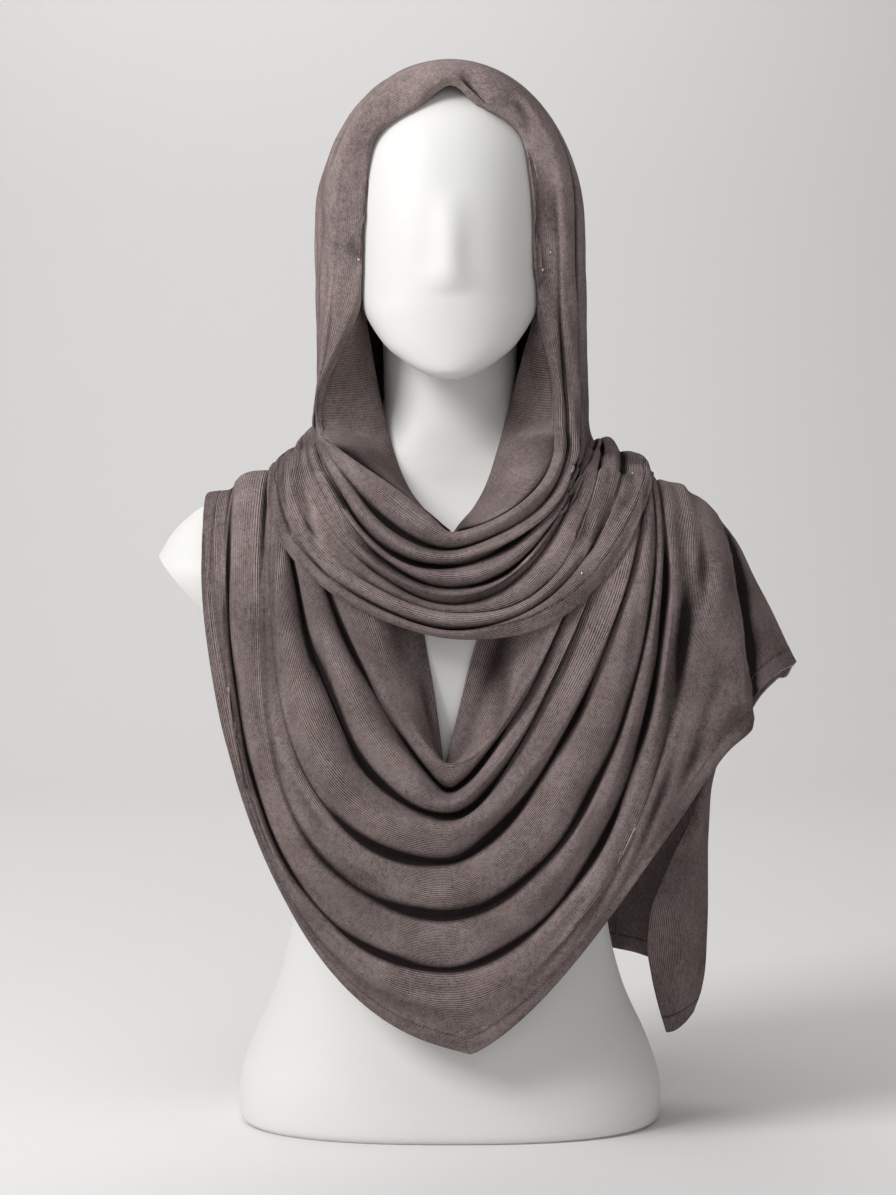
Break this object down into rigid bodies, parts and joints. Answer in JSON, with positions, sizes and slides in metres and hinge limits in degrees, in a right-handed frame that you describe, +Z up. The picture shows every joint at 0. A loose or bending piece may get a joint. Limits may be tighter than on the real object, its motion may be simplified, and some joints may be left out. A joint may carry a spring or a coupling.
{
  "type": "jersey hijab on a limbless dress form",
  "caption": "A long jersey scarf worn as a hijab: hood, wrap under the chin, chest drape, back swag and hanging ends, on a plain white bust form with neck and head.",
  "frame": {"origin": "the middle of the form's flat base", "axes": "+Z up, the face looks along -Y, +X is to the viewer's right, which is the wearer's left"},
  "size_m": [0.4547, 0.2909, 0.759],
  "materials": {
    "bust_white": "smooth satin white",
    "jersey": "soft matt rib-faced jersey, dark taupe",
    "pin_steel": "small bright pin heads"
  },
  "bodies": {
    "root": {"bust_form": "bust_white", "hood": "jersey", "inner_face_left": "jersey", "inner_face_right": "jersey", "chin_wrap": "jersey", "chest_drape": "jersey", "back_swag": "jersey", "back_fall": "jersey", "tail": "jersey", "pin_left_temple": "pin_steel", "pin_right_temple_low": "pin_steel", "pin_right_temple_high": "pin_steel", "pin_wrap": "pin_steel", "pin_shoulder": "pin_steel"}
  },
  "joints": []
}
